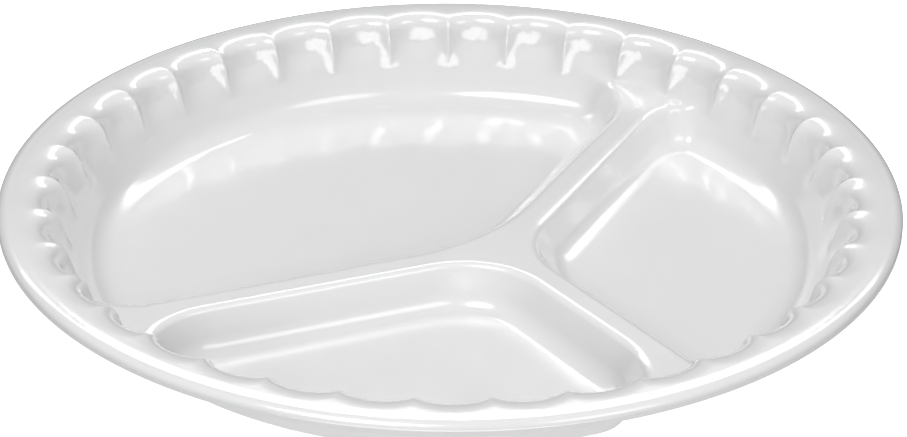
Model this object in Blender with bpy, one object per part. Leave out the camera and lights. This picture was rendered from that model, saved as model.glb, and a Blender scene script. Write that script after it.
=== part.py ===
"""Three-compartment laminated foam plate with a fluted side wall. Metres, +Z up.

The plate stands on z = 0 with its centre on the Z axis. It is one sheet of expanded
polystyrene, pressed to shape, with a thin glossy film bonded over its eating side. Both
layers follow one height formula, so the film lies on the foam with an even bond line.
"""
import math

import bmesh
import bpy
import numpy as np
from mathutils import Vector
from mathutils.geometry import delaunay_2d_cdt

# Sheet and overall size
PLATE_RADIUS = 0.130
SHEET_THICKNESS = 0.0020
FILM_THICKNESS = 0.0001
BOND_GAP = 0.00005
BOWL_DEPTH = 0.0234            # from the lip down to the compartment floors
EDGE_PINCH = 0.40              # share of the sheet's thickness pressed out at its cut edge
PINCH_WIDTH = 0.004

# Lip: a nearly flat band that rolls down at its outer edge
LIP_FALL = 0.0001
LIP_FALL_START = 0.1245
ROLL_WIDTH = 0.0032
ROLL_END_SLOPE = math.radians(45)

# Side wall between the floors and the lip. The wall is drawn as two outlines that rise from
# the floor's edge: one in the middle of a flute and one along a rib between two flutes.
FLOOR_RADIUS = 0.0976
WALL_TOE = 0.0105              # radius of the arc from the floor into the wall
WALL_SLOPE = math.radians(55)
FLUTE_FOOT = 0.0160            # height above the floor where a flute leaves the wall
FLUTE_SLOPE = math.radians(66)
FLUTE_SHOULDER = 0.0055        # radius of the arc from the steep part to the lip's crown
RIB_FOOT = 0.0085
RIB_SLOPE = math.radians(74)
RIB_SHOULDER = 0.0070
FOOT_BEND = 0.0020
CROWN_RADIUS = 0.0220          # gentle turn of the lip before it drops into the bowl
CROWN_SLOPE = math.radians(10)
FLUTE_COUNT = 37
FIRST_RIB_ANGLE = math.radians(90.5)
FLUTE_ROUNDNESS = 0.5
RIB_SOFTNESS = 0.09

# Divider: three arms that meet at a hub
DIVIDER_HEIGHT = 0.0104        # above the floors
DIVIDER_HALF_WIDTH = 0.0022
DIVIDER_SLOPE = math.radians(58)
DIVIDER_CROWN = 0.0060         # gentle turn of the divider's top before its flank
DIVIDER_CROWN_SLOPE = math.radians(14)
DIVIDER_SHOULDER = 0.0026
DIVIDER_TOE = 0.0085
HUB = Vector((0.0150, -0.0130))
LEFT_ARM = math.radians(201.4)
FRONT_ARM = math.radians(305.5)
BACK_ARM = math.radians(64.0)
COMPARTMENT_RADIUS = 0.1135    # plan radius of the compartments at the divider's top
BLEND_POWER = 8                # how sharply the divider runs into the side wall

# Plan of each compartment, counter-clockwise from its first arm to its second:
# first arm, second arm, hub fillet radius, corner radius at each arm's outer end
COMPARTMENTS = {
    "large": (BACK_ARM, LEFT_ARM, 0.065, 0.028, 0.020),
    "front": (LEFT_ARM, FRONT_ARM, 0.028, 0.030, 0.033),
    "right": (FRONT_ARM, BACK_ARM, 0.030, 0.015, 0.022),
}

# Mesh density
EDGE_STEPS = 76
EDGE_RINGS = (PLATE_RADIUS, 0.1285, PLATE_RADIUS - ROLL_WIDTH)
FLUTE_STEPS = 4 * FLUTE_COUNT
FLUTE_RINGS = (0.1242, 0.1222, 0.1202, 0.1182, 0.1158, 0.1120)
TOE_STEPS = 2 * FLUTE_COUNT
TOE_RINGS = (0.1062, 0.1022, 0.0980)
DIVIDER_ROW_RADIUS = 0.0960    # divider rows stop here, where the rings take over
DIVIDER_ROW_STEP = 0.0065
SLOPE_PROBE = 0.0004
WALL_LEVELS = 240              # heights at which the wall's outlines are mixed


def direction(angle):
    """Unit vector in plan at an angle from +X."""
    return Vector((math.cos(angle), math.sin(angle)))


def left_of(vector):
    """The plan vector turned a quarter turn counter-clockwise."""
    return Vector((-vector.y, vector.x))


def smooth_step(value):
    """0 below 0, 1 above 1, with a smooth change between."""
    value = min(max(value, 0.0), 1.0)
    return value * value * (3.0 - 2.0 * value)


def bend(radius, start, end):
    """Runs and rises along an arc that turns from one slope to another."""
    tilt = np.linspace(start, end, 40)
    return radius * np.abs([np.sin(tilt) - math.sin(start), np.cos(tilt) - math.cos(start)])


def straight(slope, rise):
    """Run and rise of a straight slope."""
    return np.array([[rise / math.tan(slope)], [rise]])


def profile(stretches):
    """Runs and heights along stretches that follow each other up from the floor."""
    points = [np.zeros((2, 1))]
    for stretch in stretches:
        points.append(points[-1][:, -1:] + stretch)
    return np.concatenate(points, axis=1)


def wall_profile(foot, upper_slope, shoulder):
    """The side wall, steeper above the foot of a rib or a flute."""
    toe = bend(WALL_TOE, 0.0, WALL_SLOPE)
    top = [bend(FOOT_BEND, WALL_SLOPE, upper_slope)]
    crest = [bend(shoulder, upper_slope, CROWN_SLOPE), bend(CROWN_RADIUS, CROWN_SLOPE, 0.0)]
    curved_rise = sum(stretch[1, -1] for stretch in top + crest)
    steep = straight(upper_slope, BOWL_DEPTH - foot - curved_rise)
    return profile([toe, straight(WALL_SLOPE, foot - toe[1, -1])] + top + [steep] + crest)


def divider_profile():
    """One flank of the divider, from the floor to its top."""
    toe = bend(DIVIDER_TOE, 0.0, DIVIDER_SLOPE)
    shoulder = bend(DIVIDER_SHOULDER, DIVIDER_SLOPE, DIVIDER_CROWN_SLOPE)
    crown = bend(DIVIDER_CROWN, DIVIDER_CROWN_SLOPE, 0.0)
    curved_rise = toe[1, -1] + shoulder[1, -1] + crown[1, -1]
    flank = straight(DIVIDER_SLOPE, DIVIDER_HEIGHT - curved_rise)
    return profile([toe, flank, shoulder, crown])


RIB_PROFILE = wall_profile(RIB_FOOT, RIB_SLOPE, RIB_SHOULDER)
FLUTE_PROFILE = wall_profile(FLUTE_FOOT, FLUTE_SLOPE, FLUTE_SHOULDER)
DIVIDER_PROFILE = divider_profile()
DIVIDER_REACH = DIVIDER_PROFILE[0, -1]


class Compartment:
    """A rounded sector in plan, bounded by two divider arms and the side wall."""

    def __init__(self, first_arm, second_arm, hub_fillet, first_corner, second_corner):
        self.arms = (direction(first_arm), direction(second_arm))
        self.inward = (left_of(self.arms[0]), -left_of(self.arms[1]))
        self.hub_fillet = hub_fillet
        self.corners = (first_corner, second_corner)
        opening = (second_arm - first_arm) % math.tau
        bisector = direction(first_arm + opening / 2.0)
        reach = (DIVIDER_HALF_WIDTH + hub_fillet) / math.sin(opening / 2.0)
        self.hub_centre = HUB + bisector * reach

    def arm_distance(self, point, side):
        """Signed distance from an arm's edge, positive on the divider."""
        return DIVIDER_HALF_WIDTH - (point - HUB).dot(self.inward[side])

    def wedge_distance(self, point):
        """Signed distance from the filleted edge that faces the hub."""
        offset = point - self.hub_centre
        if offset.dot(self.arms[0]) < 0.0 and offset.dot(self.arms[1]) < 0.0:
            return offset.length - self.hub_fillet
        return max(self.arm_distance(point, 0), self.arm_distance(point, 1))

    def distance(self, point):
        """Signed distance from the whole outline, positive outside the compartment."""
        nearer_arm = 0 if self.arm_distance(point, 0) > self.arm_distance(point, 1) else 1
        corner = self.corners[nearer_arm]
        wedge = self.wedge_distance(point)
        wall = point.length - COMPARTMENT_RADIUS
        rounded = math.hypot(max(wedge + corner, 0.0), max(wall + corner, 0.0))
        return min(max(wedge, wall), -corner) + rounded

    def hub_side_rows(self, insets):
        """Points along the edge that faces the hub, repeated at each inset from it."""
        points = []
        for side in (0, 1):
            start = HUB + self.inward[side] * DIVIDER_HALF_WIDTH
            first = (self.hub_centre - start).dot(self.arms[side])
            steps = int((DIVIDER_ROW_RADIUS + HUB.length - first) / DIVIDER_ROW_STEP)
            for step in range(1, steps + 1):
                along = self.arms[side] * (first + step * DIVIDER_ROW_STEP)
                points += [start + along + self.inward[side] * inset for inset in insets]
        turn = self.inward[0].angle(self.inward[1])
        start_angle = math.atan2(-self.inward[1].y, -self.inward[1].x)
        arc_steps = max(3, round(turn * self.hub_fillet / DIVIDER_ROW_STEP))
        for step in range(arc_steps + 1):
            spoke = direction(start_angle + turn * step / arc_steps)
            points += [self.hub_centre + spoke * (self.hub_fillet - inset) for inset in insets]
        return [point for point in points if point.length < DIVIDER_ROW_RADIUS]


COMPARTMENT_PLANS = [Compartment(*plan) for plan in COMPARTMENTS.values()]


def rib_share(angle):
    """1 along a rib, falling to 0 in the middle of a flute."""
    phase = (angle - FIRST_RIB_ANGLE) * FLUTE_COUNT / 2.0
    softness = RIB_SOFTNESS ** 2
    arch = (math.sin(phase) ** 2 + softness) ** (FLUTE_ROUNDNESS / 2.0)
    lowest = softness ** (FLUTE_ROUNDNESS / 2.0)
    highest = (1.0 + softness) ** (FLUTE_ROUNDNESS / 2.0)
    return (highest - arch) / (highest - lowest)


def wall_height(radius, angle):
    """Height of the fluted wall above the floors, read from the two outlines mixed."""
    share = rib_share(angle)
    heights = np.linspace(0.0, BOWL_DEPTH, WALL_LEVELS)
    at_rib = np.interp(heights, RIB_PROFILE[1], RIB_PROFILE[0])
    at_flute = np.interp(heights, FLUTE_PROFILE[1], FLUTE_PROFILE[0])
    runs = at_flute + (at_rib - at_flute) * share
    return float(np.interp(radius - FLOOR_RADIUS, runs, heights))


def lip_drop(radius):
    """How far the lip has fallen at this radius, with its rolled outer edge."""
    band = PLATE_RADIUS - ROLL_WIDTH - LIP_FALL_START
    fall = LIP_FALL * smooth_step((radius - LIP_FALL_START) / band)
    roll_radius = ROLL_WIDTH / math.sin(ROLL_END_SLOPE)
    into_roll = max(radius - (PLATE_RADIUS - ROLL_WIDTH), 0.0)
    return fall + roll_radius - math.sqrt(roll_radius ** 2 - into_roll ** 2)


def surface_height(point):
    """Height of the foam's eating side above the table."""
    radius = point.length
    angle = math.atan2(point.y, point.x)
    wall = wall_height(radius, angle) - lip_drop(radius)
    inset = -min(plan.distance(point) for plan in COMPARTMENT_PLANS)
    divider = float(np.interp(DIVIDER_REACH - inset, *DIVIDER_PROFILE))
    blend = max(wall, 0.0) ** BLEND_POWER + divider ** BLEND_POWER
    return SHEET_THICKNESS + blend ** (1.0 / BLEND_POWER)


def sheet_depth(point):
    """Vertical thickness of the foam: a drawn sheet thins as it steepens."""
    probe_x = Vector((SLOPE_PROBE, 0.0))
    probe_y = Vector((0.0, SLOPE_PROBE))
    inner = point * (1.0 - SLOPE_PROBE / PLATE_RADIUS)
    rise_x = surface_height(inner + probe_x) - surface_height(inner - probe_x)
    rise_y = surface_height(inner + probe_y) - surface_height(inner - probe_y)
    steepness = math.hypot(rise_x, rise_y) / (2.0 * SLOPE_PROBE)
    stretch = math.sqrt(math.cos(math.atan(steepness)))
    pinch = smooth_step((point.length - PLATE_RADIUS + PINCH_WIDTH) / PINCH_WIDTH)
    return SHEET_THICKNESS * (1.0 - EDGE_PINCH * pinch) / stretch


def ring_points(radii, steps, start_angle):
    """Evenly spaced points on rings about the plate's centre."""
    return [direction(start_angle + math.tau * step / steps) * radius
            for radius in radii for step in range(steps)]


def plan_triangles():
    """Plan points along the plate's features, joined into triangles."""
    toe_run = DIVIDER_TOE * math.sin(DIVIDER_SLOPE)
    toe_start = DIVIDER_REACH - toe_run
    crown_run = DIVIDER_CROWN * math.sin(DIVIDER_CROWN_SLOPE)
    shoulder_rise = math.sin(DIVIDER_SLOPE) - math.sin(DIVIDER_CROWN_SLOPE)
    flank_start = crown_run + DIVIDER_SHOULDER * shoulder_rise
    insets = (0.0, crown_run, flank_start, toe_start, toe_start + toe_run / 2.0, DIVIDER_REACH)
    points = ring_points(EDGE_RINGS, EDGE_STEPS, 0.0)
    points += ring_points(FLUTE_RINGS, FLUTE_STEPS, FIRST_RIB_ANGLE)
    points += ring_points(TOE_RINGS, TOE_STEPS, FIRST_RIB_ANGLE)
    for plan in COMPARTMENT_PLANS:
        points += plan.hub_side_rows(insets)
    merge_distance = 0.0005
    corners, _, triangles, *_ = delaunay_2d_cdt(points, [], [], 0, merge_distance)
    return corners, triangles


def layer(name, corners, triangles, lower, upper, material):
    """A closed solid between two heights over the same plan triangles."""
    mesh = bmesh.new()
    above = [mesh.verts.new((c.x, c.y, z)) for c, z in zip(corners, upper)]
    below = [mesh.verts.new((c.x, c.y, z)) for c, z in zip(corners, lower)]
    for triangle in triangles:
        mesh.faces.new([above[index] for index in triangle])
        mesh.faces.new([below[index] for index in reversed(triangle)])
    twin = dict(zip(above, below))
    rim = [loop for face in mesh.faces for loop in face.loops
           if loop.edge.is_boundary and loop.vert in twin]
    for loop in rim:
        start = loop.vert
        end = loop.link_loop_next.vert
        mesh.faces.new((end, start, twin[start], twin[end]))
    bmesh.ops.recalc_face_normals(mesh, faces=mesh.faces)
    data = bpy.data.meshes.new(name)
    mesh.to_mesh(data)
    mesh.free()
    data.shade_smooth()
    data.set_sharp_from_angle(angle=math.radians(35))
    data.materials.append(material)
    solid = bpy.data.objects.new(name, data)
    bpy.context.scene.collection.objects.link(solid)
    return solid


def plastic(name, colour, roughness):
    """A plain plastic material."""
    material = bpy.data.materials.new(name)
    material.use_nodes = True
    shader = material.node_tree.nodes["Principled BSDF"]
    shader.inputs["Base Color"].default_value = (*colour, 1.0)
    shader.inputs["Roughness"].default_value = roughness
    shader.inputs["Metallic"].default_value = 0.0
    return material


def build():
    """Remove what the scene holds, then make the foam sheet and its film."""
    for old in list(bpy.data.objects):
        bpy.data.objects.remove(old, do_unlink=True)
    corners, triangles = plan_triangles()
    foam_top = [surface_height(corner) for corner in corners]
    foam_under = [z - sheet_depth(corner) for corner, z in zip(corners, foam_top)]
    film_under = [z + BOND_GAP for z in foam_top]
    film_top = [z + FILM_THICKNESS for z in film_under]
    foam = plastic("white_foam", (0.86, 0.86, 0.87), 0.55)
    film = plastic("gloss_film", (0.88, 0.88, 0.89), 0.16)
    layer("foam_core", corners, triangles, foam_under, foam_top, foam)
    layer("top_film", corners, triangles, film_under, film_top, film)


build()
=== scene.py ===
"""Looks of the three-compartment foam plate: fine meshes, plastics, floor, light and camera.

Everything is in metres in the frame of the CAD model. The plate is one height formula over
the plan: a lip, a fluted side wall and a divider. Two closed sheets follow it, the pressed
foam and the glossy film on its eating side, and they replace the two CAD nodes.
"""
import math

import bpy
import numpy as np
from mathutils import Matrix, Vector
from mathutils.geometry import delaunay_2d_cdt


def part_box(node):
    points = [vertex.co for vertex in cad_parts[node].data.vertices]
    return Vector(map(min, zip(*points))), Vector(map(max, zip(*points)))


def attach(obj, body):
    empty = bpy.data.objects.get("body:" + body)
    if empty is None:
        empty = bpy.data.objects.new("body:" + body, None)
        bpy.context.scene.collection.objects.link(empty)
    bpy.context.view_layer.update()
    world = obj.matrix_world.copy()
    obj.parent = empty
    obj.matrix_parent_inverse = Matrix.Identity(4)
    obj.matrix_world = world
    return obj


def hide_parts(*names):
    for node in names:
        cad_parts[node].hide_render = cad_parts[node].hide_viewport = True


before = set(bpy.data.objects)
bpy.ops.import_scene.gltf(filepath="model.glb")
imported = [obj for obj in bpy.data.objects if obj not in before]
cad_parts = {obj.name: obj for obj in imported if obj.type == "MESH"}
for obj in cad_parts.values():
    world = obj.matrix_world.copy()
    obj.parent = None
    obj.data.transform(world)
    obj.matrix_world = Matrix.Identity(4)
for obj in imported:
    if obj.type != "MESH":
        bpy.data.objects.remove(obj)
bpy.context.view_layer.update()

FOAM_LOW, FOAM_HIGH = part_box("foam_core")
FILM_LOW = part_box("top_film")[0]

# Sheet and overall size
PLATE_RADIUS = FOAM_HIGH.x
SHEET_THICKNESS = FILM_LOW.z - FOAM_LOW.z      # the foam and its bond line
FILM_THICKNESS = 0.0001
BOND_GAP = 0.00005
BOWL_DEPTH = FOAM_HIGH.z - SHEET_THICKNESS     # from the lip down to the compartment floors
EDGE_PINCH = 0.40              # share of the sheet's thickness pressed out at its cut edge
PINCH_WIDTH = 0.004
EDGE_ROUND_WIDTH = 0.0006
EDGE_ROUND_DEPTH = 0.0004
EDGE_ROUND_SHARE = 0.99        # the quarter round stops just short of upright

# Lip: a nearly flat band that rolls down at its outer edge
LIP_FALL = 0.0001
LIP_FALL_START = 0.1245
ROLL_WIDTH = 0.0032
ROLL_END_SLOPE = math.radians(45)

# Side wall. It is drawn as two outlines that rise from the floor's edge to the lip: one in
# the middle of a flute and one along a rib between two flutes.
FLOOR_RADIUS = 0.0976
WALL_TOE = 0.0105              # radius of the arc from the floor into the wall
WALL_SLOPE = math.radians(55)
FLUTE_FOOT = 0.0160            # height above the floor where a flute leaves the wall
FLUTE_SLOPE = math.radians(66)
FLUTE_SHOULDER = 0.0055        # radius of the arc from the steep part to the lip's crown
RIB_FOOT = 0.0085
RIB_SLOPE = math.radians(74)
RIB_SHOULDER = 0.0070
FOOT_BEND = 0.0020
CROWN_RADIUS = 0.0220          # gentle turn of the lip before it drops into the bowl
CROWN_SLOPE = math.radians(10)
FLUTE_COUNT = 37
FIRST_RIB_ANGLE = math.radians(90.5)
FLUTE_ROUNDNESS = 0.5
RIB_SOFTNESS = 0.09

# Unevenness of the pressed sheet: waves across the plan, each with a length and a direction
WAVE_HEIGHT = 0.0002
WAVE_LENGTHS = (0.047, 0.061, 0.083)
WAVE_ANGLES = (0.4, 1.7, 2.9)

# Divider: three arms that meet at a hub
DIVIDER_HEIGHT = 0.0104        # above the floors
DIVIDER_HALF_WIDTH = 0.0022
DIVIDER_SLOPE = math.radians(58)
DIVIDER_CROWN = 0.0060         # gentle turn of the divider's top before its flank
DIVIDER_CROWN_SLOPE = math.radians(14)
DIVIDER_SHOULDER = 0.0026
DIVIDER_TOE = 0.0085
HUB = np.array((0.0150, -0.0130))
LEFT_ARM = math.radians(201.4)
FRONT_ARM = math.radians(305.5)
BACK_ARM = math.radians(64.0)
COMPARTMENT_RADIUS = 0.1135    # plan radius of the compartments at the divider's top
BLEND_POWER = 8                # how sharply the divider runs into the side wall

# Plan of each compartment, counter-clockwise from its first arm to its second:
# first arm, second arm, hub fillet radius, corner radius at each arm's outer end
COMPARTMENTS = {
    "large": (BACK_ARM, LEFT_ARM, 0.065, 0.028, 0.020),
    "front": (LEFT_ARM, FRONT_ARM, 0.028, 0.030, 0.033),
    "right": (FRONT_ARM, BACK_ARM, 0.030, 0.015, 0.022),
}

# Fine mesh: rows of points along the compartment outlines, then rings over the wall and lip
ARC_POINTS = 40
ROW_RAYS = 300
ROW_START = 0.55               # the rays leave from this share of the compartments' radius
ROW_HALVINGS = 40
SHORTEST_RAY = 0.0001
ROW_INSETS = np.concatenate((  # from the divider's top, down its flank and over the floor
    np.arange(-0.0012, 0.0026, 0.0004),
    np.arange(0.0030, 0.0120, 0.0007),
    np.arange(0.0130, 0.0500, 0.0060),
))
ROW_ZONE_END = 0.0976
HUB_SPACING = 0.003
HUB_REACH = 0.016
HUB_CLEARANCE = 0.0022         # the hub's own points keep this far outside the compartments
FLUTE_COLUMNS = 18
FLUTE_ZONE_START = 0.0985
FLUTE_ZONE_END = 0.1262
RING_STEP = 0.0008
EDGE_STEPS = 333
EDGE_RINGS = 14
WALL_HALVINGS = 36
SLOPE_PROBE = 0.0001
MERGE_DISTANCE = 0.00005

# Plastics. A relief below zero sinks the seams between the beads.
BEAD_SIZE = 0.0016
FOAM_ROUGHNESS = 0.55
FOAM_ROUGHNESS_RANGE = (0.48, 0.68)
FOAM_COLOURS = ((0.80, 0.80, 0.805), (0.87, 0.87, 0.875))
FOAM_CLOUD_SIZE = 0.012
FOAM_BEAD_RELIEF = -0.00008
FOAM_GRAIN_SIZE = 0.0003
FOAM_GRAIN_RELIEF = 0.00002
FILM_ROUGHNESS = 0.16
FILM_ROUGHNESS_SPREAD = 0.04
FILM_COLOURS = ((0.825, 0.825, 0.832), (0.855, 0.855, 0.862))
FILM_CLOUD_SIZE = 0.015
FILM_BEAD_RELIEF = -0.000004
FILM_RIPPLE_SIZE = 0.0016
FILM_RIPPLE_RELIEF = 0.000010
FILM_IOR = 1.55
FILM_COAT = 0.7
FILM_COAT_ROUGHNESS = 0.10

# Studio floor
FLOOR_HALF_SIZE = 6.0
FLOOR_GAP = 0.0002             # keeps the floor just clear of the plate's underside
FLOOR_GREY = 0.95
FLOOR_ROUGHNESS = 0.9
FLOOR_GLOW = 0.75

# Grey of the surroundings by the height of a direction, from straight down to straight up
SKY = (
    (-1.0, 1.0), (-0.40, 1.0), (-0.2, 0.05), (0.25, 0.04), (0.47, 0.13), (0.75, 0.50),
    (1.0, 0.66),
)

# Soft boxes: azimuth, elevation, width and height in degrees, then radiance
SOFT_BOX_DISTANCE = 1.2
SOFT_BOXES = {
    "lamp_right": (-22, 67, 18, 18, 2.6),
    "lamp_left": (194, 78, 20, 20, 9.5),
    "back_box": (90, 40, 70, 7, 5.0),
    "front_box": (270, 21, 70, 24, 3.2),
}

# Camera
CAMERA_ELEVATION = math.radians(27.7)
CAMERA_DISTANCE = 6.63 * PLATE_RADIUS
CAMERA_ROLL = math.radians(0.35)
CAMERA_SENSOR = 36.0
CAMERA_LENS = 118.3
CAMERA_SHIFT = (0.0036, -0.0368)
CAMERA_CLIP = (0.05, 20.0)


def direction(angle):
    """Unit vector in plan at an angle from +X."""
    return np.array((math.cos(angle), math.sin(angle)))


def smooth_step(value):
    """0 below 0, 1 above 1, with a smooth change between."""
    value = np.clip(value, 0.0, 1.0)
    return value * value * (3.0 - 2.0 * value)


def bend(radius, start, end):
    """Runs and rises along an arc that turns from one slope to another."""
    tilt = np.linspace(start, end, ARC_POINTS)
    return radius * np.abs([np.sin(tilt) - math.sin(start), np.cos(tilt) - math.cos(start)])


def straight(slope, rise):
    """Run and rise of a straight slope."""
    return np.array([[rise / math.tan(slope)], [rise]])


def profile(stretches):
    """Runs and heights along stretches that follow each other up from the floor."""
    points = [np.zeros((2, 1))]
    for stretch in stretches:
        points.append(points[-1][:, -1:] + stretch)
    return np.concatenate(points, axis=1)


def wall_profile(foot, upper_slope, shoulder):
    """The side wall, steeper above the foot of a rib or a flute."""
    toe = bend(WALL_TOE, 0.0, WALL_SLOPE)
    lower = straight(WALL_SLOPE, foot - toe[1, -1])
    turn = bend(FOOT_BEND, WALL_SLOPE, upper_slope)
    crest = [bend(shoulder, upper_slope, CROWN_SLOPE), bend(CROWN_RADIUS, CROWN_SLOPE, 0.0)]
    curved_rise = sum(stretch[1, -1] for stretch in [turn] + crest)
    steep = straight(upper_slope, BOWL_DEPTH - foot - curved_rise)
    return profile([toe, lower, turn, steep] + crest)


def divider_profile():
    """One flank of the divider, from the floor to its top."""
    toe = bend(DIVIDER_TOE, 0.0, DIVIDER_SLOPE)
    shoulder = bend(DIVIDER_SHOULDER, DIVIDER_SLOPE, DIVIDER_CROWN_SLOPE)
    crown = bend(DIVIDER_CROWN, DIVIDER_CROWN_SLOPE, 0.0)
    curved_rise = toe[1, -1] + shoulder[1, -1] + crown[1, -1]
    flank = straight(DIVIDER_SLOPE, DIVIDER_HEIGHT - curved_rise)
    return profile([toe, flank, shoulder, crown])


RIB_PROFILE = wall_profile(RIB_FOOT, RIB_SLOPE, RIB_SHOULDER)
FLUTE_PROFILE = wall_profile(FLUTE_FOOT, FLUTE_SLOPE, FLUTE_SHOULDER)
DIVIDER_PROFILE = divider_profile()
DIVIDER_REACH = DIVIDER_PROFILE[0, -1]


class Compartment:
    """A rounded sector in plan, bounded by two divider arms and the side wall."""

    def __init__(self, first_arm, second_arm, hub_fillet, first_corner, second_corner):
        self.arms = (direction(first_arm), direction(second_arm))
        self.inward = (direction(first_arm + math.pi / 2), direction(second_arm - math.pi / 2))
        self.hub_fillet = hub_fillet
        self.corners = (first_corner, second_corner)
        opening = (second_arm - first_arm) % math.tau
        self.bisector = direction(first_arm + opening / 2.0)
        reach = (DIVIDER_HALF_WIDTH + hub_fillet) / math.sin(opening / 2.0)
        self.hub_centre = HUB + self.bisector * reach

    def distance(self, points):
        """Signed distance from the outline, positive outside the compartment."""
        sides = [DIVIDER_HALF_WIDTH - (points - HUB) @ inward for inward in self.inward]
        offset = points - self.hub_centre
        at_hub = (offset @ self.arms[0] < 0.0) & (offset @ self.arms[1] < 0.0)
        fillet = np.hypot(offset[:, 0], offset[:, 1]) - self.hub_fillet
        wedge = np.where(at_hub, fillet, np.maximum(*sides))
        corner = np.where(sides[0] > sides[1], *self.corners)
        wall = np.hypot(points[:, 0], points[:, 1]) - COMPARTMENT_RADIUS
        rounded = np.hypot(np.maximum(wedge + corner, 0.0), np.maximum(wall + corner, 0.0))
        return np.minimum(np.maximum(wedge, wall), -corner) + rounded

    def row(self, inset):
        """Points at this inset from the outline, one on each ray, and links between them."""
        centre = self.bisector * COMPARTMENT_RADIUS * ROW_START
        angles = np.arange(ROW_RAYS) * math.tau / ROW_RAYS
        spokes = np.stack((np.cos(angles), np.sin(angles)), axis=1)
        near = np.zeros(ROW_RAYS)
        far = np.full(ROW_RAYS, 2.0 * PLATE_RADIUS)
        for _ in range(ROW_HALVINGS):
            middle = (near + far) / 2.0
            outside = self.distance(centre + spokes * middle[:, None]) > -inset
            far = np.where(outside, middle, far)
            near = np.where(outside, near, middle)
        points = centre + spokes * near[:, None]
        within_wall = np.hypot(points[:, 0], points[:, 1]) < ROW_ZONE_END
        kept = (near > SHORTEST_RAY) & within_wall
        number = np.cumsum(kept) - 1
        linked = kept & np.roll(kept, -1)
        links = np.stack((number[linked], np.roll(number, -1)[linked]), axis=1)
        return points[kept], links


PLANS = [Compartment(*plan) for plan in COMPARTMENTS.values()]


def rib_share(angle):
    """1 along a rib, falling to 0 in the middle of a flute."""
    phase = (angle - FIRST_RIB_ANGLE) * FLUTE_COUNT / 2.0
    softness = RIB_SOFTNESS ** 2
    arch = (np.sin(phase) ** 2 + softness) ** (FLUTE_ROUNDNESS / 2.0)
    lowest = softness ** (FLUTE_ROUNDNESS / 2.0)
    highest = (1.0 + softness) ** (FLUTE_ROUNDNESS / 2.0)
    return (highest - arch) / (highest - lowest)


def wall_height(radius, angle):
    """Height of the fluted wall, found by halving between the floor and the lip."""
    run = radius - FLOOR_RADIUS
    share = rib_share(angle)
    low = np.zeros_like(radius)
    high = np.full_like(radius, BOWL_DEPTH)
    for _ in range(WALL_HALVINGS):
        middle = (low + high) / 2.0
        at_rib = np.interp(middle, RIB_PROFILE[1], RIB_PROFILE[0])
        at_flute = np.interp(middle, FLUTE_PROFILE[1], FLUTE_PROFILE[0])
        short = at_flute + (at_rib - at_flute) * share < run
        low = np.where(short, middle, low)
        high = np.where(short, high, middle)
    return np.where(run > 0.0, high, 0.0)


def lip_drop(radius):
    """How far the lip has fallen at this radius, with its rolled outer edge."""
    band = PLATE_RADIUS - ROLL_WIDTH - LIP_FALL_START
    fall = LIP_FALL * smooth_step((radius - LIP_FALL_START) / band)
    roll_radius = ROLL_WIDTH / math.sin(ROLL_END_SLOPE)
    into_roll = np.clip(radius - (PLATE_RADIUS - ROLL_WIDTH), 0.0, ROLL_WIDTH)
    return fall + roll_radius - np.sqrt(roll_radius ** 2 - into_roll ** 2)


def edge_round(radius):
    """How far each face of the sheet turns towards the other at the cut edge."""
    into_edge = (radius - PLATE_RADIUS) / EDGE_ROUND_WIDTH + 1.0
    into_edge = np.clip(into_edge, 0.0, EDGE_ROUND_SHARE)
    return EDGE_ROUND_DEPTH * (1.0 - np.sqrt(1.0 - into_edge ** 2))


def waviness(points):
    """Slight unevenness of the pressed sheet, never below 0."""
    waves = [
        np.sin(math.tau * (points @ direction(angle)) / length + angle)
        for angle, length in zip(WAVE_ANGLES, WAVE_LENGTHS)
    ]
    return WAVE_HEIGHT * (1.0 + np.mean(waves, axis=0)) / 2.0


def surface_height(points):
    """Height of the foam's eating side above the table."""
    radius = np.hypot(points[:, 0], points[:, 1])
    angle = np.arctan2(points[:, 1], points[:, 0])
    wall = wall_height(radius, angle) - lip_drop(radius)
    inset = -np.min([plan.distance(points) for plan in PLANS], axis=0)
    divider = np.interp(DIVIDER_REACH - inset, *DIVIDER_PROFILE)
    blend = np.maximum(wall, 0.0) ** BLEND_POWER + divider ** BLEND_POWER
    level = SHEET_THICKNESS + blend ** (1.0 / BLEND_POWER) - edge_round(radius)
    at_lip = smooth_step(radius / PLATE_RADIUS)
    return level + waviness(points) * (1.0 - at_lip)


def slope_at(points):
    """Gradient of the eating side, by central differences."""
    inner = points * (1.0 - SLOPE_PROBE / PLATE_RADIUS)
    rises = []
    for axis in ((SLOPE_PROBE, 0.0), (0.0, SLOPE_PROBE)):
        step = np.array(axis)
        rises.append(surface_height(inner + step) - surface_height(inner - step))
    return np.stack(rises, axis=1) / (2.0 * SLOPE_PROBE)


def sheet_depth(points):
    """Vertical thickness of the foam: a drawn sheet thins as it steepens."""
    slope = slope_at(points)
    stretch = np.sqrt(np.cos(np.arctan(np.hypot(slope[:, 0], slope[:, 1]))))
    radius = np.hypot(points[:, 0], points[:, 1])
    pinch = smooth_step((radius - PLATE_RADIUS + PINCH_WIDTH) / PINCH_WIDTH)
    return SHEET_THICKNESS * (1.0 - EDGE_PINCH * pinch) / stretch - 2.0 * edge_round(radius)


def ring_points(radii, angles):
    """Points where the rings cross the spokes."""
    spokes = np.stack((np.cos(angles), np.sin(angles)), axis=1)
    return np.concatenate([spokes * radius for radius in radii])


def hub_points():
    """A square grid on the flat top of the hub."""
    line = np.arange(-HUB_REACH, HUB_REACH, HUB_SPACING)
    across, along = np.meshgrid(line, line)
    grid = HUB + np.stack((across.ravel(), along.ravel()), axis=1)
    clear = np.min([plan.distance(grid) for plan in PLANS], axis=0)
    return grid[clear > HUB_CLEARANCE]


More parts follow.
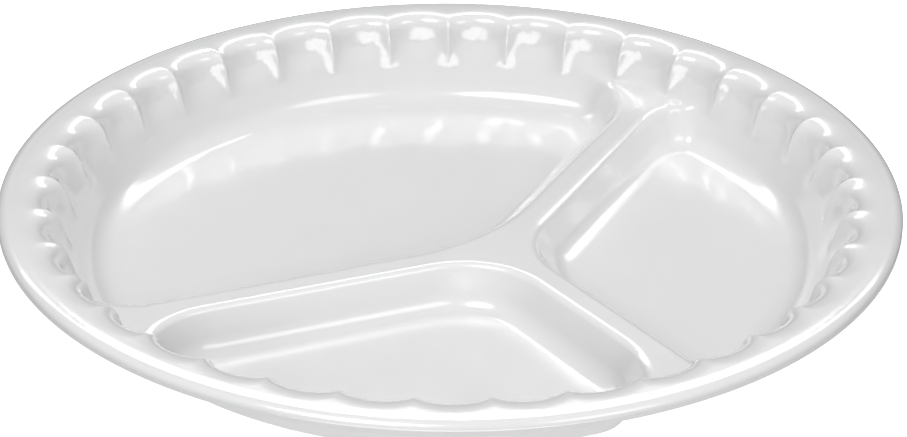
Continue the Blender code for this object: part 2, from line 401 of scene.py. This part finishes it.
def flute_points():
    """Rings over the side wall, with spokes that crowd towards the ribs."""
    across = np.sin(np.linspace(-1.0, 1.0, FLUTE_COLUMNS, endpoint=False) * math.pi / 2.0)
    middles = np.arange(FLUTE_COUNT) * 2.0 + 1.0
    phases = (middles[:, None] + across[None, :]).ravel()
    angles = FIRST_RIB_ANGLE + phases * math.pi / FLUTE_COUNT
    radii = np.arange(FLUTE_ZONE_START, FLUTE_ZONE_END, RING_STEP)
    return ring_points(radii, angles)


def edge_points():
    """Rings over the lip, closer together towards the cut edge."""
    angles = np.arange(EDGE_STEPS) * math.tau / EDGE_STEPS
    outwards = np.sin(np.linspace(0.0, math.pi / 2.0, EDGE_RINGS))
    radii = FLUTE_ZONE_END + (PLATE_RADIUS - FLUTE_ZONE_END) * outwards
    return ring_points(radii, angles)


def plan_points():
    """Plan points along the divider, the flutes and the lip, and links along the divider."""
    points = []
    links = []
    count = 0
    for plan in PLANS:
        for inset in ROW_INSETS:
            row, row_links = plan.row(inset)
            points.append(row)
            links.extend((row_links + count).tolist())
            count += len(row)
    points += [hub_points(), flute_points(), edge_points()]
    return np.concatenate(points), links


def join_plan(points, links):
    """The plan points joined into triangles that keep to the links."""
    flat = [Vector(point) for point in points.tolist()]
    corners, _, triangles, *_ = delaunay_2d_cdt(flat, links, [], 0, MERGE_DISTANCE)
    return np.array(corners), np.array(triangles)


def rim_walls(triangles, count):
    """Four-sided faces that join the upper and lower faces around the plan's open edges."""
    edges = np.concatenate([triangles[:, [0, 1]], triangles[:, [1, 2]], triangles[:, [2, 0]]])
    both = {tuple(edge) for edge in edges.tolist()}
    rim = [(a, b) for a, b in both if (b, a) not in both]
    return [(b, a, a + count, b + count) for a, b in rim]


def corner_normals(corners, triangles, walls):
    """The formula's own normal at each face corner: upper faces, lower faces, then the rim."""
    slope = slope_at(corners)
    upward = np.column_stack((-slope, np.ones(len(corners))))
    upward = upward / np.linalg.norm(upward, axis=1, keepdims=True)
    spokes = corners / np.linalg.norm(corners, axis=1, keepdims=True)
    outward = np.column_stack((spokes, np.zeros(len(corners))))
    return np.concatenate([
        upward[triangles].reshape(-1, 3),
        -upward[triangles[:, ::-1]].reshape(-1, 3),
        outward[np.array(walls) % len(corners)].reshape(-1, 3),
    ])


def sheet(name, corners, triangles, lower, upper, material):
    """A closed sheet between two heights over the same plan triangles, smooth on both faces."""
    count = len(corners)
    top = np.column_stack((corners, upper))
    bottom = np.column_stack((corners, lower))
    under = triangles[:, ::-1] + count
    walls = rim_walls(triangles, count)
    faces = triangles.tolist() + under.tolist() + walls
    data = bpy.data.meshes.new(name)
    data.from_pydata(np.concatenate((top, bottom)).tolist(), [], faces)
    data.shade_smooth()
    data.normals_split_custom_set(corner_normals(corners, triangles, walls).tolist())
    data.materials.append(material)
    piece = bpy.data.objects.new(name, data)
    bpy.context.scene.collection.objects.link(piece)
    return piece


def shader_of(material):
    """The material's Principled shader."""
    return material.node_tree.nodes["Principled BSDF"]


def new_plastic(name, roughness):
    """A plastic with a Principled shader of this roughness."""
    material = bpy.data.materials.new(name)
    material.use_nodes = True
    shader_of(material).inputs["Roughness"].default_value = roughness
    return material


def pattern(material, kind, size, output):
    """A texture whose features are about this size, in metres."""
    nodes = material.node_tree.nodes
    place = nodes.new("ShaderNodeTexCoord")
    texture = nodes.new(kind)
    texture.inputs["Scale"].default_value = 1.0 / size
    material.node_tree.links.new(place.outputs["Object"], texture.inputs["Vector"])
    return texture.outputs[output]


def vary(material, source, socket, low, high):
    """Let a pattern move a shader's value between two limits."""
    spread = material.node_tree.nodes.new("ShaderNodeMapRange")
    spread.inputs["To Min"].default_value = low
    spread.inputs["To Max"].default_value = high
    links = material.node_tree.links
    links.new(source, spread.inputs["Value"])
    links.new(spread.outputs["Result"], shader_of(material).inputs[socket])


def tint(material, source, low, high):
    """Let a pattern move the colour between two near ones."""
    ramp = material.node_tree.nodes.new("ShaderNodeValToRGB")
    ramp.color_ramp.elements[0].color = (*low, 1.0)
    ramp.color_ramp.elements[1].color = (*high, 1.0)
    links = material.node_tree.links
    links.new(source, ramp.inputs["Fac"])
    links.new(ramp.outputs["Color"], shader_of(material).inputs["Base Color"])


def emboss(material, reliefs):
    """Raise the surface by patterns, each with its depth in metres."""
    nodes = material.node_tree.nodes
    links = material.node_tree.links
    below = None
    for source, depth in reliefs:
        bump = nodes.new("ShaderNodeBump")
        bump.inputs["Distance"].default_value = depth
        links.new(source, bump.inputs["Height"])
        if below:
            links.new(below, bump.inputs["Normal"])
        below = bump.outputs["Normal"]
    links.new(below, shader_of(material).inputs["Normal"])


def white_foam():
    """Expanded polystyrene: pressed beads with fine seams between them, matt."""
    foam = new_plastic("white_foam", FOAM_ROUGHNESS)
    beads = pattern(foam, "ShaderNodeTexVoronoi", BEAD_SIZE, "Distance")
    grain = pattern(foam, "ShaderNodeTexNoise", FOAM_GRAIN_SIZE, "Fac")
    cloud = pattern(foam, "ShaderNodeTexNoise", FOAM_CLOUD_SIZE, "Fac")
    vary(foam, beads, "Roughness", *FOAM_ROUGHNESS_RANGE)
    tint(foam, cloud, *FOAM_COLOURS)
    emboss(foam, [(beads, FOAM_BEAD_RELIEF), (grain, FOAM_GRAIN_RELIEF)])
    return foam


def gloss_film():
    """Thin glossy film that shows a trace of the beads beneath it."""
    film = new_plastic("gloss_film", FILM_ROUGHNESS)
    shader = shader_of(film)
    shader.inputs["IOR"].default_value = FILM_IOR
    shader.inputs["Coat Weight"].default_value = FILM_COAT
    shader.inputs["Coat Roughness"].default_value = FILM_COAT_ROUGHNESS
    beads = pattern(film, "ShaderNodeTexVoronoi", BEAD_SIZE, "Distance")
    ripple = pattern(film, "ShaderNodeTexNoise", FILM_RIPPLE_SIZE, "Fac")
    cloud = pattern(film, "ShaderNodeTexNoise", FILM_CLOUD_SIZE, "Fac")
    smoothest = FILM_ROUGHNESS - FILM_ROUGHNESS_SPREAD
    roughest = FILM_ROUGHNESS + FILM_ROUGHNESS_SPREAD
    vary(film, cloud, "Roughness", smoothest, roughest)
    tint(film, cloud, *FILM_COLOURS)
    emboss(film, [(beads, FILM_BEAD_RELIEF), (ripple, FILM_RIPPLE_RELIEF)])
    return film


def studio_floor():
    """A wide pale sheet under the plate."""
    size = FLOOR_HALF_SIZE
    data = bpy.data.meshes.new("floor")
    corners = [(-size, -size, 0.0), (size, -size, 0.0), (size, size, 0.0), (-size, size, 0.0)]
    data.from_pydata(corners, [], [(0, 1, 2, 3)])
    floor = bpy.data.objects.new("floor", data)
    bpy.context.scene.collection.objects.link(floor)
    paint = new_plastic("floor_white", FLOOR_ROUGHNESS)
    shader = shader_of(paint)
    shader.inputs["Base Color"].default_value = (FLOOR_GREY, FLOOR_GREY, FLOOR_GREY, 1.0)
    shader.inputs["Emission Color"].default_value = (1.0, 1.0, 1.0, 1.0)
    shader.inputs["Emission Strength"].default_value = FLOOR_GLOW
    data.materials.append(paint)
    floor.location.z = -FLOOR_GAP
    floor.visible_glossy = False
    floor.visible_diffuse = False


def soft_box(name, azimuth, elevation, width, height, radiance):
    """A soft box that shines at the plate from a direction. Angles are in degrees."""
    data = bpy.data.lights.new(name, "AREA")
    data.shape = "ELLIPSE"
    data.size = 2.0 * SOFT_BOX_DISTANCE * math.tan(math.radians(width / 2.0))
    data.size_y = 2.0 * SOFT_BOX_DISTANCE * math.tan(math.radians(height / 2.0))
    area = math.pi / 4.0 * data.size * data.size_y
    data.energy = radiance * math.pi * area
    light = bpy.data.objects.new(name, data)
    around = math.radians(azimuth)
    up = math.radians(elevation)
    flat = math.cos(up)
    towards = Vector((math.cos(around) * flat, math.sin(around) * flat, math.sin(up)))
    light.location = towards * SOFT_BOX_DISTANCE
    light.rotation_mode = "QUATERNION"
    light.rotation_quaternion = towards.to_track_quat("Z", "Y")
    bpy.context.scene.collection.objects.link(light)


def studio():
    """Surroundings that darken near the horizon and brighten upwards, and the soft boxes."""
    world = bpy.data.worlds.new("studio")
    world.use_nodes = True
    nodes = world.node_tree.nodes
    links = world.node_tree.links
    place = nodes.new("ShaderNodeTexCoord")
    split = nodes.new("ShaderNodeSeparateXYZ")
    shades = nodes.new("ShaderNodeValToRGB")
    links.new(place.outputs["Generated"], split.inputs["Vector"])
    height = nodes.new("ShaderNodeMapRange")
    height.inputs["From Min"].default_value = -1.0
    links.new(split.outputs["Z"], height.inputs["Value"])
    links.new(height.outputs["Result"], shades.inputs["Fac"])
    links.new(shades.outputs["Color"], nodes["Background"].inputs["Color"])
    ramp = shades.color_ramp
    while len(ramp.elements) < len(SKY):
        ramp.elements.new(0.5)
    for stop, (rise, grey) in zip(ramp.elements, SKY):
        stop.position = (1.0 + rise) / 2.0
        stop.color = (grey, grey, grey, 1.0)
    bpy.context.scene.world = world
    for name, placing in SOFT_BOXES.items():
        soft_box(name, *placing)


def camera():
    """The camera, in front of the plate and above it."""
    target = Vector((0.0, 0.0, FOAM_HIGH.z))
    back = Vector((0.0, -math.cos(CAMERA_ELEVATION), math.sin(CAMERA_ELEVATION)))
    data = bpy.data.cameras.new("camera")
    data.sensor_width = CAMERA_SENSOR
    data.lens = CAMERA_LENS
    data.shift_x, data.shift_y = CAMERA_SHIFT
    data.clip_start, data.clip_end = CAMERA_CLIP
    view = bpy.data.objects.new("camera", data)
    roll = Matrix.Rotation(CAMERA_ROLL, 4, "Z")
    aim = back.to_track_quat("Z", "Y").to_matrix().to_4x4()
    view.matrix_world = Matrix.Translation(target + back * CAMERA_DISTANCE) @ aim @ roll
    bpy.context.scene.collection.objects.link(view)
    bpy.context.scene.camera = view


def plate():
    """The pressed foam sheet and its film."""
    corners, triangles = join_plan(*plan_points())
    foam_top = surface_height(corners)
    foam_under = foam_top - sheet_depth(corners)
    film_under = foam_top + BOND_GAP
    film_top = film_under + FILM_THICKNESS
    foam = sheet("foam_sheet", corners, triangles, foam_under, foam_top, white_foam())
    film = sheet("film_skin", corners, triangles, film_under, film_top, gloss_film())
    for piece, node, slot in ((foam, "foam_core", "white_foam"), (film, "top_film", "gloss_film")):
        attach(piece, "root")
        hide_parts(node)


camera()
studio()
studio_floor()
plate()
bpy.context.scene.view_settings.view_transform = "Standard"
